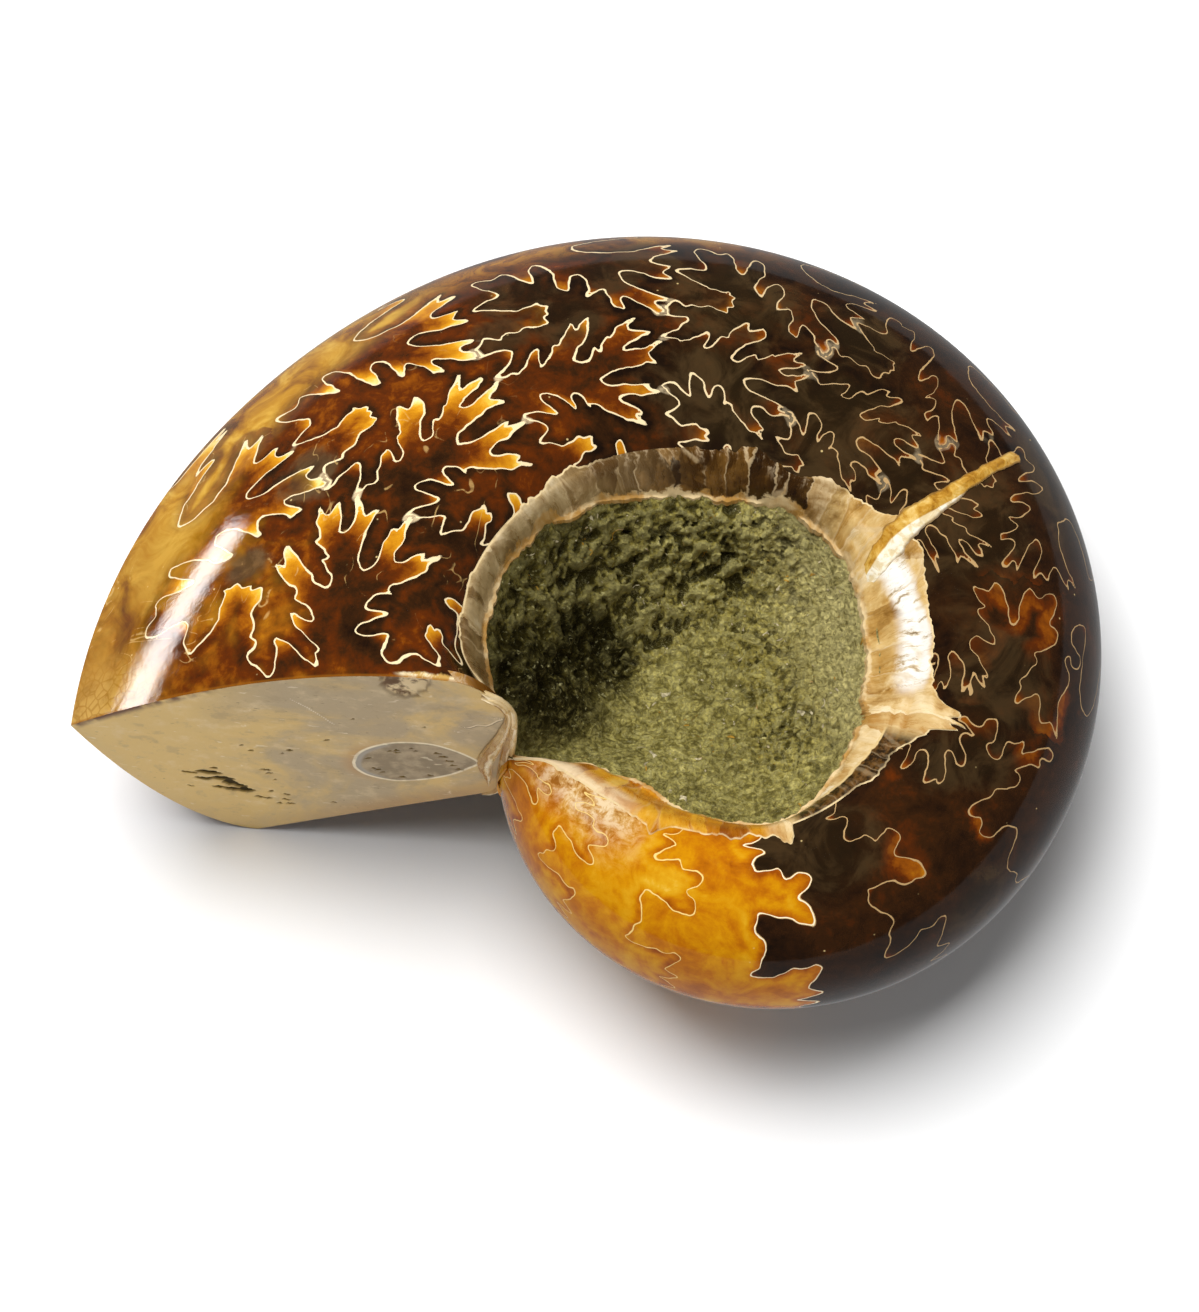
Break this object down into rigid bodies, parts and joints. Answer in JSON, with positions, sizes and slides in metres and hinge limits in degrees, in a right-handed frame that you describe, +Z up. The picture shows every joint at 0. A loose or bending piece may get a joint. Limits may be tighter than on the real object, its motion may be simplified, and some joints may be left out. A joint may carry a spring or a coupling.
{
  "type": "polished ammonite fossil",
  "caption": "Polished coiled ammonite fossil lying on its flank, mouth end sawn flat, with a rough rock-filled hollow at the middle of the coil.",
  "frame": {"origin": "middle of the footprint, on the surface that the fossil lies on", "axes": "+Z up from the surface it lies on; +X along its length, away from the sawn tip; +Y away from the side that the sawn face looks to"},
  "size_m": [0.1006, 0.0802, 0.0428],
  "materials": {
    "polished_shell": "polished calcite and shell, honey to dark brown, glossy",
    "rock_fill": "rough olive green sandstone, unpolished",
    "shell_rim": "tan fibrous shell, half polished",
    "sawn_face": "sawn and honed cream stone, fine satin"
  },
  "bodies": {
    "root": {"ammonite": "polished_shell"}
  },
  "joints": []
}
